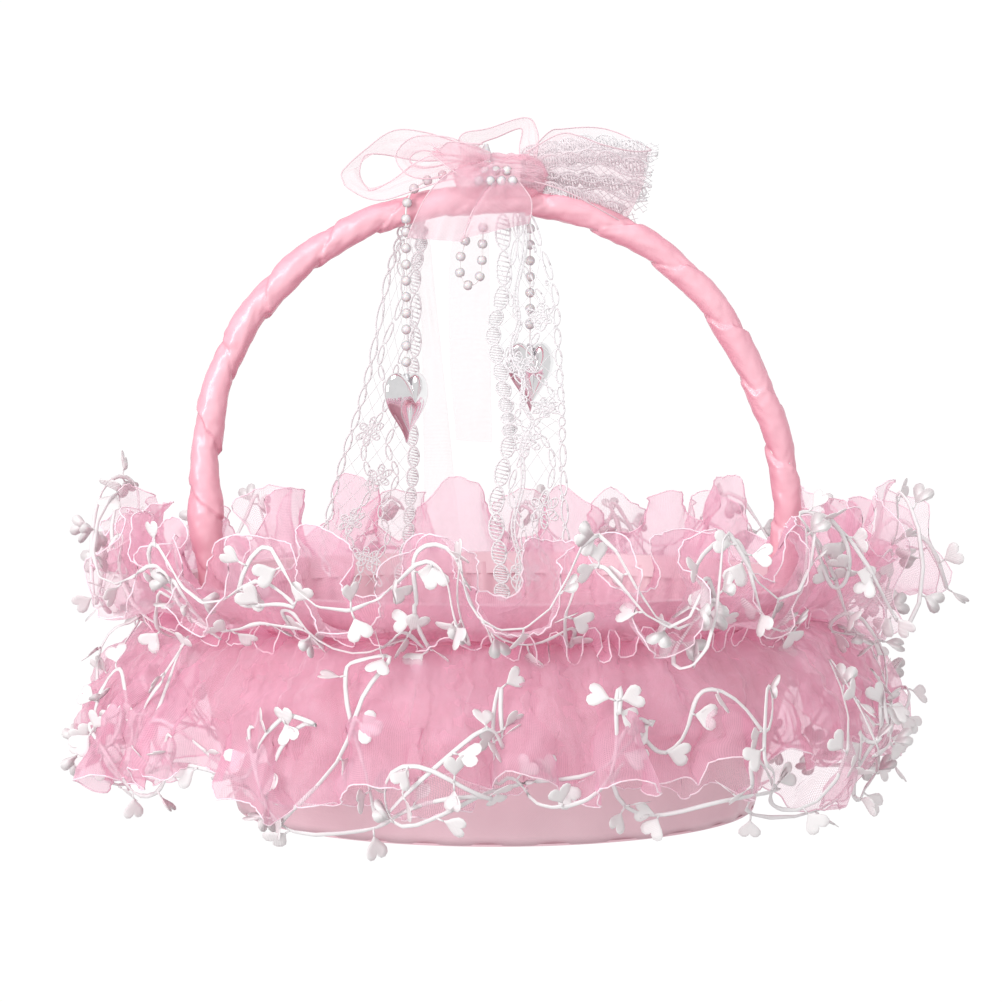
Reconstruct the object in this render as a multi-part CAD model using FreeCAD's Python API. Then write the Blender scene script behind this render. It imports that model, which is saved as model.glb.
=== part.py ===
"""A flower girl basket: an oval satin-covered bowl with an arched, ribbon-wrapped handle, two tiers of gathered
organza with heart-leaf vines round the rim, and a bow with lace and pearl strings on the handle.

The frame: origin under the middle of the base, +X along the handle's span, -Y to the front, +Z up. Millimetres.
"""
import FreeCAD
import Part

import math
import os

Vec = FreeCAD.Vector
OUT = "parts"
GAP = 0.1  # glue line or slack between layers of one stack

# ---- bowl ------------------------------------------------------------------
BASE_A, BASE_B = 104.0, 88.0  # half length and half depth of the base
RIM_A, RIM_B = 128.0, 110.0  # the same at the rim
RIM_Z = 91.0  # height at which the rim's size is given
WALL_TOP = 88.0
COVER_T = 0.8  # satin outside the wall
WALL_T = 2.2  # paperboard wall
LINING_T = 1.0  # satin inside the wall
BOARD_T = 2.0
PAD_T = 5.0
HOOP_R = 1.3
BINDING_T = 0.6
BINDING_LOW, BINDING_TOP = 83.0, 92.0

# ---- handle ----------------------------------------------------------------
CORE_R = 4.5
WRAP_R = 6.0
HANDLE_ROUTE = [  # (x, z) of the centreline's corners, from the left foot over the top to the right foot
    (-100.8, 30.0), (-109.2, 62.0), (-115.6, 100.0), (-117.2, 135.0), (-112.6, 168.0), (-97.5, 198.0),
    (-73.0, 222.0), (-42.0, 237.5), (-7.0, 243.2), (28.5, 240.0), (61.0, 225.5), (86.0, 203.0),
    (101.0, 177.0), (112.5, 150.0), (117.2, 125.0), (115.6, 98.0), (109.2, 62.0), (100.8, 30.0),
]
STAPLE_R = 0.45
STAPLE_HALF = 3.0  # half of a staple's crown
STAPLE_LENGTH = 9.0
STAPLE_HEIGHTS = (48.0, 74.0)

# ---- ruffles and vines -------------------------------------------------------
FLUTES = 18
POINTS_PER_FLUTE = 6
RUFFLE_T = 1.2
# (z, distance outside the bowl's wall at the gathering line, flute amplitude)
UPPER_LEVELS = [(80.4, 3.2, 0.0), (90.0, 9.0, 2.0), (101.0, 22.0, 4.5), (112.5, 39.0, 8.0)]
LOWER_LEVELS = [(76.6, 3.2, 0.0), (66.0, 14.0, 2.5), (47.0, 28.0, 5.0), (23.0, 38.0, 8.0)]
GATHER_Z = 78.5
TAPE_LOW, TAPE_TOP = 75.0, 82.0
TAPE_T = 0.8
VINE_R = 0.9
LEAF_SIZE = 8.0
LEAF_T = 0.8
LEAVES_UPPER, LEAVES_LOWER = 44, 52

# ---- bow ---------------------------------------------------------------------
KNOT_R = 11.0
KNOT_HALF = 8.0
KNOT_ROUND = 0.8
KNOT_Z = 242.2  # the handle's centreline inside the knot
ORGANZA_T = 0.4
LACE_T = 0.8
TIE_R = 0.5

# ---- pearl strings -------------------------------------------------------------
PEARL_R = 2.0
PEARL_STEP = 6.4
THREAD_R = 0.35
BORE_R = 0.4
BEND_BORE_R = 1.1
TOP_PEARL_GAP = 0.3
SPRAY_STEP = 4.4
SPRAY_LOW_DEG, SPRAY_HIGH_DEG = 28.0, 50.0
HEART_TALL = 28.0
HEART_LOBE_R = 6.6
HEART_LEAN_DEG = 14.5  # each lobe leans this far from the middle
HEART_FLAT = 0.72  # thickness of a lobe over its width
CAP_TALL = 3.0
LEFT_HANG = Vec(-35.4, -8.8, 229.0)  # centre of the first free pearl
RIGHT_HANG = Vec(13.8, 9.2, 231.0)
LEFT_TIP_Z, RIGHT_TIP_Z = 145.6, 157.4
LEFT_DRAPE = [Vec(-8.4, -4.5, 253.6), Vec(-18.0, -5.2, 252.3), Vec(-26.5, -5.6, 249.8), Vec(-33.0, -7.6, 246.0),
              Vec(-35.4, -8.8, 239.5)]
RIGHT_DRAPE = [Vec(3.0, 13.2, 241.0), Vec(7.6, 13.4, 244.6), Vec(12.4, 11.4, 243.4), Vec(13.8, 9.6, 238.4)]
LOOP_ROUTE = [Vec(-9.6, -10.2, 231.4), Vec(-12.6, -10.2, 224.0), Vec(-14.8, -10.2, 215.5), Vec(-12.8, -10.2, 207.6),
              Vec(-6.8, -10.2, 208.6), Vec(-5.4, -10.2, 217.0), Vec(-5.2, -10.2, 225.0), Vec(-5.0, -10.2, 231.4)]


def save(name, shape):
    """Writes one sub-part, and says if it isn't sound."""
    if not shape.isValid() or shape.Volume <= 0:
        print("UNSOUND", name, shape.isValid(), shape.Volume)
    shape.exportStep(os.path.join(OUT, name + ".step"))


def wall_a(z):
    """Half length of the bowl's outside at height z."""
    return BASE_A + (RIM_A - BASE_A) * z / RIM_Z


def wall_b(z):
    """Half depth of the bowl's outside at height z."""
    return BASE_B + (RIM_B - BASE_B) * z / RIM_Z


def oval(a, b, z):
    """A level ellipse, longer along X, as a wire."""
    curve = Part.Ellipse(Vec(0, 0, z), a, b)
    return Part.Wire([curve.toShape()])


def oval_cone(low, high, inset):
    """The solid inside the bowl's outer surface, inset by that much, from height low to high."""
    wires = [oval(wall_a(z) - inset, wall_b(z) - inset, z) for z in (low, high)]
    return Part.makeLoft(wires, True, True)


def oval_band(low, high, outer_inset, inner_inset):
    """A band of the bowl's wall between two insets."""
    return oval_cone(low, high, outer_inset).cut(oval_cone(low, high, inner_inset))


def oval_disc(a, b, low, thick):
    return Part.Face(oval(a, b, low)).extrude(Vec(0, 0, thick))


def route_wire(points):
    """Straight runs joined by tangent arcs as large as the runs allow."""
    edges = []
    start = points[0]
    for before, corner, after in zip(points, points[1:], points[2:]):
        back, ahead = (before - corner), (after - corner)
        shorter = min(back.Length, ahead.Length)
        back.normalize()
        ahead.normalize()
        half_turn = (math.pi - back.getAngle(ahead)) / 2
        trim = 0.45 * shorter
        radius = trim / math.tan(half_turn)
        enter, leave = corner + back * trim, corner + ahead * trim
        middle = back + ahead
        middle.normalize()
        deepest = corner + middle * (radius / math.cos(half_turn) - radius)
        edges.append(Part.LineSegment(start, enter).toShape())
        edges.append(Part.Arc(enter, deepest, leave).toShape())
        start = leave
    edges.append(Part.LineSegment(start, points[-1]).toShape())
    return Part.Wire(edges)


def tube(wire, radius):
    """A round rod along a wire."""
    first = wire.Edges[0]
    direction = first.tangentAt(first.FirstParameter)
    ring = Part.Wire([Part.makeCircle(radius, wire.Vertexes[0].Point, direction)])
    return Part.Wire(wire.Edges).makePipeShell([ring], True, False)


def handle_wire(first=0, last=None):
    corners = [Vec(x, 0, z) for x, z in HANDLE_ROUTE]
    return route_wire(corners[first:last])


# ---- bowl -----------------------------------------------------------------------
def make_bowl():
    wall_in = COVER_T + GAP
    lining_in = wall_in + WALL_T + GAP
    inside = lining_in + LINING_T
    board_low = COVER_T + GAP
    pad_low = board_low + BOARD_T + GAP
    save("base_cover", oval_disc(BASE_A, BASE_B, 0.0, COVER_T))
    save("base_board", oval_disc(BASE_A - lining_in, BASE_B - lining_in, board_low, BOARD_T))
    save("outer_cover", oval_band(board_low, WALL_TOP, 0.0, COVER_T))
    save("wall_shell", oval_band(board_low, WALL_TOP, wall_in, wall_in + WALL_T))
    save("lining", oval_band(pad_low, WALL_TOP, lining_in, inside))
    pad = oval_disc(wall_a(pad_low) - inside - 0.3, wall_b(pad_low) - inside - 0.3, pad_low, PAD_T)
    top_edges = [e for e in pad.Edges if e.BoundBox.ZMin > pad_low + PAD_T - 0.01]
    save("floor_pad", pad.makeFillet(1.5, top_edges))
    hoop_z = WALL_TOP + GAP + HOOP_R
    hoop_in = wall_in + WALL_T / 2
    path = oval(wall_a(hoop_z) - hoop_in, wall_b(hoop_z) - hoop_in, hoop_z)
    save("rim_hoop", tube(path, HOOP_R))
    outside = oval_band(BINDING_LOW, BINDING_TOP, -GAP - BINDING_T, inside + GAP + BINDING_T)
    channel = oval_band(BINDING_LOW - 1, BINDING_TOP - BINDING_T, -GAP, inside + GAP)
    save("rim_binding", outside.cut(channel))
    save("ruffle_tape", oval_band(TAPE_LOW, TAPE_TOP, -GAP - TAPE_T, -GAP))


# ---- handle -----------------------------------------------------------------------
def staple(side, z):
    """One wire staple, driven level through the wall into the handle's core from outside."""
    crown_x = wall_a(z) - COVER_T - GAP - STAPLE_R
    points = [Vec(crown_x - STAPLE_LENGTH, -STAPLE_HALF, z), Vec(crown_x, -STAPLE_HALF, z),
              Vec(crown_x, STAPLE_HALF, z), Vec(crown_x - STAPLE_LENGTH, STAPLE_HALF, z)]
    rods = []
    for start, end in zip(points, points[1:]):
        rods.append(Part.makeCylinder(STAPLE_R, (end - start).Length, start, end - start))
    corners = [Part.makeSphere(STAPLE_R, p) for p in points[1:3]]
    wire = rods[0].multiFuse(rods[1:] + corners)
    return wire if side > 0 else wire.mirror(Vec(0, 0, 0), Vec(1, 0, 0))


def make_handle():
    path = handle_wire()
    core = tube(path, CORE_R)
    save("handle_core", core)
    save("handle_wrap", tube(path, WRAP_R).cut(tube(path, CORE_R + GAP)))
    staples = [staple(side, z) for side in (-1, 1) for z in STAPLE_HEIGHTS]
    save("handle_staples", Part.makeCompound(staples))


# ---- ruffles -----------------------------------------------------------------------
def fluted_point(angle, level, inset=0.0):
    """A point of a ruffle at one level: the rim's oval, pushed out and waved in and out."""
    z, out, wave = level
    grow = out + wave * math.cos(FLUTES * angle) - inset
    a, b = wall_a(GATHER_Z) + grow, wall_b(GATHER_Z) + grow
    return Vec(a * math.cos(angle), b * math.sin(angle), z)


def fluted_wire(level, inset=0.0):
    count = FLUTES * POINTS_PER_FLUTE
    points = [fluted_point(2 * math.pi * k / count, level, inset) for k in range(count)]
    curve = Part.BSplineCurve()
    curve.interpolate(Points=points, PeriodicFlag=True)
    return Part.Wire([curve.toShape()])


def ruffle(levels):
    """A fluted band of even thickness, gathered flat at its first level."""
    outer = [fluted_wire(level) for level in levels]
    inner = [fluted_wire(level, RUFFLE_T) for level in levels]
    faces = Part.makeLoft(outer, False, False).Faces + Part.makeLoft(inner, False, False).Faces
    for k in (0, -1):
        faces.append(Part.makeFace([outer[k], inner[k]], "Part::FaceMakerBullseye"))
    shell = Part.makeShell(faces)
    shell.sewShape()
    solid = Part.makeSolid(shell)
    if solid.Volume < 0:
        solid.reverse()
    return solid


def leaf(tip, side, up, out):
    """A flat heart-shaped leaf with its tip at a point, growing along up and facing out."""
    r = LEAF_SIZE * 0.27
    lobe = LEAF_SIZE * 0.24
    rise = LEAF_SIZE * 0.62

    def at(x, y):
        return tip + side * x + up * y

    left = Part.Arc(at(-lobe - r * 0.86, rise - r * 0.5), at(-lobe - r * 0.2, rise + r), at(0, rise + r * 0.2))
    right = Part.Arc(at(0, rise + r * 0.2), at(lobe + r * 0.2, rise + r), at(lobe + r * 0.86, rise - r * 0.5))
    lines = [Part.LineSegment(at(0, 0), left.StartPoint), Part.LineSegment(right.EndPoint, at(0, 0))]
    outline = Part.Wire([lines[0].toShape(), left.toShape(), right.toShape(), lines[1].toShape()])
    return Part.Face(outline).extrude(out * LEAF_T)


def leaves(level, count, up_sign, clear):
    """Leaves standing on a vine, evenly round it, symmetric about both axes."""
    made = []
    z = level[0] + up_sign * clear
    for k in range(count):
        angle = 2 * math.pi * (k + 0.5) / count
        here = fluted_point(angle, level)
        ahead = fluted_point(angle + 0.01, level)
        side = ahead - here
        side.normalize()
        up = Vec(0, 0, up_sign)
        out = side.cross(Vec(0, 0, 1))
        tip = Vec(here.x, here.y, z) - out * (LEAF_T / 2)
        made.append(leaf(tip, side, up, out))
    return Part.makeCompound(made)


def vine(level, clear):
    """The vine's cord, which follows the ruffle's hem just past its edge."""
    z, out, wave = level
    return tube(fluted_wire((z + clear, out, wave), RUFFLE_T / 2), VINE_R)


def make_ruffles():
    save("ruffle_upper", ruffle(UPPER_LEVELS))
    save("ruffle_lower", ruffle(LOWER_LEVELS))
    hem = VINE_R + GAP
    save("vine_cord_upper", vine(UPPER_LEVELS[-1], hem))
    save("vine_cord_lower", vine(LOWER_LEVELS[-1], -hem))
    save("heart_leaves_upper", leaves(UPPER_LEVELS[-1], LEAVES_UPPER, 1, 2 * VINE_R))
    save("heart_leaves_lower", leaves(LOWER_LEVELS[-1], LEAVES_LOWER, -1, 2 * VINE_R))


# ---- bow -----------------------------------------------------------------------------
def loop_band(corners, front, back, thick=ORGANZA_T):
    """A ribbon loop: a closed teardrop seen from the front, as wide as from front to back."""
    closed = corners + corners[:2]
    points = [Vec(x, front, z) for x, z in closed]
    rounded = route_wire([(points[0] + points[1]) * 0.5] + points[1:-1] + [(points[-2] + points[-1]) * 0.5])
    outer = rounded.makeOffset2D(thick / 2)
    inner = rounded.makeOffset2D(-thick / 2)
    face = Part.makeFace([outer, inner], "Part::FaceMakerBullseye")
    return face.extrude(Vec(0, back - front, 0))


def slab(sections, thick):
    """A thin ribbon through pairs of edge points, thickened along +Y."""
    wires = []
    for a, b in sections:
        a, b = Vec(*a), Vec(*b)
        push = Vec(0, thick, 0)
        wires.append(Part.makePolygon([a, b, b + push, a + push, a]))
    return Part.makeLoft(wires, True, True)


def make_bow():
    knot = Part.makeCylinder(KNOT_R, 2 * KNOT_HALF, Vec(-KNOT_HALF, 0, KNOT_Z), Vec(1, 0, 0))
    solid_knot = knot.makeFillet(KNOT_ROUND, [e for e in knot.Edges if isinstance(e.Curve, Part.Circle)])
    save("bow_knot", solid_knot.cut(tube(handle_wire(), WRAP_R + GAP)))
    ties = [Part.makeTorus(KNOT_R + TIE_R, TIE_R, Vec(x, 0, KNOT_Z), Vec(1, 0, 0)) for x in (-1.2, 1.2)]
    save("bow_tie_wire", Part.makeCompound(ties))
    tied_knot = [solid_knot] + ties
    left = [(-5.0, 252.6), (-24.0, 263.5), (-42.0, 268.5), (-55.0, 262.5), (-60.0, 254.0), (-55.0, 247.0),
            (-44.0, 246.4), (-26.0, 250.6), (-5.0, 249.8)]
    inner = [(-5.0, 251.6), (-25.0, 259.5), (-38.0, 261.5), (-45.0, 256.5), (-40.0, 252.4), (-25.0, 253.2),
             (-5.0, 250.8)]
    centre = [(0.0, 255.0), (-9.5, 264.0), (2.0, 270.5), (15.0, 273.0), (19.5, 266.0), (9.0, 258.0)]
    left_loop = loop_band(left, 1.5, 23.0).cut(tied_knot)
    save("bow_loop_left", left_loop)
    save("bow_loop_left_inner", loop_band(inner, 4.0, 20.0).cut(tied_knot + [left_loop]))
    save("bow_loop_centre", loop_band(centre, 1.5, 15.0))
    front = slab([((8.0, -3.6, 250.0), (8.0, -3.6, 252.2)), ((34.0, -3.6, 246.6), (34.0, -3.6, 262.0)),
                  ((60.0, -2.0, 238.5), (68.0, -2.0, 262.0))], ORGANZA_T)
    back = slab([((8.0, 3.4, 249.8), (8.0, 3.4, 252.0)), ((34.0, 8.0, 248.0), (34.0, 8.0, 270.0)),
                 ((60.0, 9.0, 239.5), (68.0, 9.0, 264.0))], ORGANZA_T)
    save("bow_loop_right", Part.makeCompound([front, back]))
    lace_front = slab([((8.0, -1.0, 250.0), (8.0, -1.0, 252.6)), ((40.0, 0.5, 244.6), (40.0, 0.5, 261.0)),
                       ((67.0, 2.5, 236.0), (73.0, 2.5, 261.0))], LACE_T)
    lace_back = slab([((8.0, 5.6, 249.2), (8.0, 5.6, 251.2)), ((40.0, 13.0, 243.0), (40.0, 13.0, 260.0)),
                      ((64.0, 16.0, 233.0), (70.0, 16.0, 257.0))], LACE_T)
    save("lace_loop_right", Part.makeCompound([lace_front, lace_back]))
    tail = slab([((-8.0, -7.6, 245.5), (-8.0, -7.6, 238.5)), ((-20.0, -9.6, 244.0), (-17.0, -9.6, 231.0)),
                 ((-32.0, -9.6, 238.5), (-26.0, -9.6, 226.5))], ORGANZA_T)
    save("bow_tail_left", tail)


# ---- streamers -------------------------------------------------------------------------
def make_streamers():
    save("lace_streamer_left", slab([
        ((-44.0, 8.0, 231.5), (-26.0, 8.0, 231.5)), ((-50.0, 18.0, 205.0), (-33.0, 18.0, 205.0)),
        ((-57.0, 21.0, 165.0), (-36.0, 21.0, 165.0)), ((-65.0, 23.0, 130.0), (-31.0, 23.0, 130.0)),
        ((-72.0, 25.0, 76.0), (-32.0, 25.0, 76.0))], LACE_T))
    save("lace_streamer_right", slab([
        ((-2.4, -11.6, 231.0), (14.5, -9.4, 231.0)), ((-2.0, -14.5, 200.0), (24.0, -14.0, 200.0)),
        ((-1.0, -18.0, 160.0), (29.0, -18.0, 160.0)), ((-6.0, -24.0, 120.0), (31.0, -24.0, 120.0)),
        ((-7.0, -32.0, 84.0), (33.0, -32.0, 84.0))], LACE_T))
    save("organza_tail_centre", slab([
        ((-15.5, 8.6, 234.0), (-3.0, 8.6, 234.0)), ((-19.0, 21.0, 215.0), (-2.5, 21.0, 215.0)),
        ((-19.0, 31.0, 180.0), (-2.0, 31.0, 180.0)), ((-16.5, 34.0, 144.0), (-1.5, 34.0, 144.0))], ORGANZA_T))
    save("organza_tail_left", slab([
        ((-38.0, 9.6, 232.0), (-27.0, 9.6, 232.0)), ((-31.0, 22.0, 200.0), (-24.0, 22.0, 200.0)),
        ((-30.0, 27.0, 160.0), (-20.0, 27.0, 160.0)), ((-29.0, 29.0, 100.0), (-14.0, 29.0, 100.0))], ORGANZA_T))


# ---- pearl strings -----------------------------------------------------------------------
def pearl(centre, along=None, bore_r=BORE_R):
    """A pearl, drilled along a direction where it is strung."""
    if along is None:
        return Part.makeSphere(PEARL_R, centre)
    bead = Part.makeSphere(PEARL_R, centre, along)
    return bead.cut(Part.makeCylinder(bore_r, 4 * PEARL_R, centre - along * 2 * PEARL_R, along))


def route_pearls(wire, clear_of=None):
    """Pearls evenly along a bent route, drilled wide enough for its bends, none of them close to a given point."""
    marks = wire.discretize(Distance=PEARL_STEP)
    beads = []
    for before, mark, after in zip(marks, marks[1:], marks[2:]):
        if clear_of is None or (mark - clear_of).Length > 2 * PEARL_R + 0.4:
            beads.append(pearl(mark, (after - before).normalize(), BEND_BORE_R))
    return Part.makeCompound(beads)


def heart_lobe(lean_deg):
    """Half a heart: a round lobe drawn down to the tip at the origin, leaning to one side."""
    reach = HEART_TALL / math.cos(math.radians(HEART_LEAN_DEG)) - HEART_LOBE_R
    taper = math.asin(HEART_LOBE_R / reach)
    touch = Vec(HEART_LOBE_R * math.cos(taper), 0, reach - HEART_LOBE_R * math.sin(taper))
    shoulder = Vec(HEART_LOBE_R * math.cos(0.6), 0, reach + HEART_LOBE_R * math.sin(0.6))
    top = Vec(0, 0, reach + HEART_LOBE_R)
    outline = Part.Wire([Part.LineSegment(Vec(0, 0, 0), touch).toShape(), Part.Arc(touch, shoulder, top).toShape(),
                         Part.LineSegment(top, Vec(0, 0, 0)).toShape()])
    lobe = Part.Face(outline).revolve(Vec(0, 0, 0), Vec(0, 0, 1), 360)
    lobe.rotate(Vec(0, 0, 0), Vec(0, 1, 0), lean_deg)
    return lobe


def heart(tip):
    """A plump heart standing on its tip, flatter from front to back than it is wide."""
    body = heart_lobe(-HEART_LEAN_DEG).fuse(heart_lobe(HEART_LEAN_DEG))
    squash = FreeCAD.Matrix()
    squash.scale(1.0, HEART_FLAT, 1.0)
    body = body.transformGeometry(squash)
    body.translate(tip)
    return body


def make_string(side, hang, drape, tip_z):
    """One pearl string: a part that lies over the handle, a free part, and a heart with its cap."""
    drape_end = Vec(hang.x, hang.y, hang.z + PEARL_R + TOP_PEARL_GAP)
    draped = route_wire(drape + [drape_end])
    save(side + "_drape_thread", tube(draped, THREAD_R))
    save(side + "_drape_pearls", route_pearls(draped, clear_of=hang))
    save(side + "_top_pearl", Part.makeSphere(PEARL_R, hang))
    cap_low = tip_z + HEART_TALL - 3.4
    cap_top = cap_low + CAP_TALL
    start = hang.z - PEARL_R - TOP_PEARL_GAP
    length = start - cap_top - GAP
    save(side + "_thread", Part.makeCylinder(THREAD_R, length, Vec(hang.x, hang.y, start), Vec(0, 0, -1)))
    count = int((length - PEARL_R) / PEARL_STEP)
    free = [Vec(hang.x, hang.y, hang.z - PEARL_STEP * (k + 1)) for k in range(count)]
    save(side + "_pearls", Part.makeCompound([pearl(p, Vec(0, 0, 1)) for p in free]))
    tip = Vec(hang.x, hang.y, tip_z)
    cap = Part.makeCone(2.6, 1.0, CAP_TALL, Vec(hang.x, hang.y, cap_low))
    body = heart(tip)
    save(side + "_heart_cap", cap.cut(body))
    save(side + "_heart", body)


def make_strings():
    make_string("left", LEFT_HANG, LEFT_DRAPE, LEFT_TIP_Z)
    make_string("right", RIGHT_HANG, RIGHT_DRAPE, RIGHT_TIP_Z)
    loop = route_wire(LOOP_ROUTE)
    save("loop_thread", tube(loop, THREAD_R))
    save("loop_pearls", route_pearls(loop))
    spray = spray_row(4, SPRAY_LOW_DEG) + spray_row(3, SPRAY_HIGH_DEG)
    save("spray_pearls", Part.makeCompound([pearl(p) for p in spray]))
    save("spray_bud", Part.makeCone(3.4, 0.8, 8.0, Vec(-3.8, -5.2, KNOT_Z + KNOT_R + 2.6)))


def spray_row(count, lift_deg):
    """Centres of a level row of pearls wired to the front of the knot."""
    reach = KNOT_R + 2 * TIE_R + PEARL_R + GAP
    lift = math.radians(lift_deg)
    middle = (count - 1) / 2
    return [Vec((k - middle) * SPRAY_STEP, -math.cos(lift) * reach, KNOT_Z + math.sin(lift) * reach)
            for k in range(count)]


os.makedirs(OUT, exist_ok=True)
make_bowl()
make_handle()
make_ruffles()
make_bow()
make_streamers()
make_strings()
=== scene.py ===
"""Looks of the flower girl basket: satin bowl and handle, gathered organza ruffles with heart-leaf vines, an organza
and lace bow, and pearl strings with mirrored hearts. Lengths are in metres unless a name ends in _MM."""
import math

import bpy
import numpy as np
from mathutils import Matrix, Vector, noise


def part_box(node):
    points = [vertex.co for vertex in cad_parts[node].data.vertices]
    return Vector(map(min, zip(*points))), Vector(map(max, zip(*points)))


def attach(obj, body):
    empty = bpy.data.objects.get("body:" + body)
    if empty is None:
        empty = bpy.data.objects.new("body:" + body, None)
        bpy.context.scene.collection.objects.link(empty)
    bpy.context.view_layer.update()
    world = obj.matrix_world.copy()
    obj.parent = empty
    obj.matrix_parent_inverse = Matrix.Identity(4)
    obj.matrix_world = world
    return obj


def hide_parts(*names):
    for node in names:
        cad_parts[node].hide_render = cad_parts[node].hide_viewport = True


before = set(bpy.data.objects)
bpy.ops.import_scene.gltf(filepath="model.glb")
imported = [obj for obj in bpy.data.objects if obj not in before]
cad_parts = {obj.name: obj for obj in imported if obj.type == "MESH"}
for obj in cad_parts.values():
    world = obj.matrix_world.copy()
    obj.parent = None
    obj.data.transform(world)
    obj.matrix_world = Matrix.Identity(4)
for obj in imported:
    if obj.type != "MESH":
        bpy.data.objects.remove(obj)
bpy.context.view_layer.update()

MM = 0.001
TURN = 2 * math.pi

# The bowl, from the frame.
cover_low, cover_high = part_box("outer_cover")
base_low, base_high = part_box("base_cover")
tape_low, tape_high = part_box("ruffle_tape")
WALL_TOP = cover_high.z
BASE_A, BASE_B = base_high.x, base_high.y
SLOPE_A = (cover_high.x - BASE_A) / WALL_TOP
SLOPE_B = (cover_high.y - BASE_B) / WALL_TOP
GATHER_Z = (tape_low.z + tape_high.z) / 2


def wall_radii(z):
    """Half length and half depth of the bowl's outside at height z."""
    return BASE_A + SLOPE_A * z, BASE_B + SLOPE_B * z


# ---- meshes ------------------------------------------------------------------------------------
def mesh_object(name, verts, faces, mat, smooth=True, uvs=None):
    """A mesh object; uvs, where given, holds one (u, v) per vertex."""
    mesh = bpy.data.meshes.new(name)
    mesh.from_pydata(np.asarray(verts, float).tolist(), [], faces)
    mesh.polygons.foreach_set("use_smooth", [smooth] * len(mesh.polygons))
    if uvs is not None:
        layer = mesh.uv_layers.new(name="cloth")
        loops = np.zeros(len(mesh.loops), np.int32)
        mesh.loops.foreach_get("vertex_index", loops)
        layer.data.foreach_set("uv", np.asarray(uvs, np.float32)[loops].ravel())
    mesh.validate()
    obj = bpy.data.objects.new(name, mesh)
    bpy.context.scene.collection.objects.link(obj)
    obj.data.materials.append(mat)
    return obj


def grid_faces(rows, cols, closed=False, start=0):
    """Quads of a grid of rows by cols points, row after row; closed joins the last row to the first."""
    last = rows if closed else rows - 1
    return [(start + i * cols + j, start + (i + 1) % rows * cols + j,
             start + (i + 1) % rows * cols + j + 1, start + i * cols + j + 1)
            for i in range(last) for j in range(cols - 1)]


def grid_object(name, grid, mat, closed=False, cloth=None):
    """A sheet through a (rows, cols, 3) grid. cloth gives the grid's (row, col) places on the flat cloth."""
    rows, cols = grid.shape[:2]
    uvs = None if cloth is None else cloth.reshape(-1, 2)
    return mesh_object(name, grid.reshape(-1, 3), grid_faces(rows, cols, closed), mat, uvs=uvs)


def unit(a):
    return a / np.maximum(np.linalg.norm(a, axis=-1, keepdims=True), 1e-12)


def along(points, closed=False):
    """Unit tangents of a line of points."""
    if closed:
        return unit(np.roll(points, -1, 0) - np.roll(points, 1, 0))
    return unit(np.gradient(points, axis=0))


class Batch:
    """Vertices and faces of many small shapes, gathered into one mesh."""

    def __init__(self):
        self.verts, self.faces, self.count = [], [], 0

    def add(self, verts, faces):
        self.verts.append(np.asarray(verts, float).reshape(-1, 3))
        self.faces += [tuple(self.count + i for i in f) for f in faces]
        self.count += len(self.verts[-1])

    def tube(self, points, ups, wide, thick=None, sides=6, closed=False):
        """A cord along points, with half widths wide across and thick along ups."""
        points, ups = np.asarray(points, float), np.asarray(ups, float)
        thick = wide if thick is None else thick
        forward = along(points, closed)
        side = unit(np.cross(forward, ups))
        up = np.cross(side, forward)
        turns = np.arange(sides) * TURN / sides
        wide, thick = (np.broadcast_to(x, len(points))[:, None, None] for x in (wide, thick))
        ring = (points[:, None] + side[:, None] * np.cos(turns)[None, :, None] * wide
                + up[:, None] * np.sin(turns)[None, :, None] * thick)
        rows = len(points)
        last = rows if closed else rows - 1
        faces = [(i * sides + j, i * sides + (j + 1) % sides, (i + 1) % rows * sides + (j + 1) % sides,
                  (i + 1) % rows * sides + j) for i in range(last) for j in range(sides)]
        if not closed:
            faces += [tuple(range(sides))[::-1], tuple((rows - 1) * sides + j for j in range(sides))]
        self.add(ring, faces)

    def object(self, name, mat, smooth=True):
        return mesh_object(name, np.concatenate(self.verts), self.faces, mat, smooth)


def modifier(obj, kind, **settings):
    mod = obj.modifiers.new(kind.lower(), kind)
    for key, value in settings.items():
        setattr(mod, key, value)
    return mod


def nurbs_line(name, points):
    """The smooth line of a cord's route, as points."""
    curve = nurbs_curve(name, points)
    obj = bpy.data.objects.new(name, curve)
    bpy.context.scene.collection.objects.link(obj)
    mesh = bpy.data.meshes.new_from_object(obj)
    line = np.array([v.co for v in mesh.vertices])
    bpy.data.objects.remove(obj)
    bpy.data.meshes.remove(mesh)
    return line


def nurbs_curve(name, points, bevel=0.0):
    curve = bpy.data.curves.new(name, "CURVE")
    curve.dimensions = "3D"
    curve.bevel_depth = bevel
    curve.bevel_resolution = 3
    curve.resolution_u = 12
    spline = curve.splines.new("NURBS")
    spline.points.add(len(points) - 1)
    for point, place in zip(spline.points, points):
        point.co = (*place, 1.0)
    spline.order_u = 3
    spline.use_endpoint_u = True
    return curve


def evenly(line, step):
    """Points about step apart along a line."""
    lengths = np.concatenate([[0], np.cumsum(np.linalg.norm(np.diff(line, axis=0), axis=1))])
    count = max(2, int(round(lengths[-1] / step)) + 1)
    wanted = np.linspace(0, lengths[-1], count)
    return np.stack([np.interp(wanted, lengths, line[:, k]) for k in range(line.shape[1])], 1)


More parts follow.
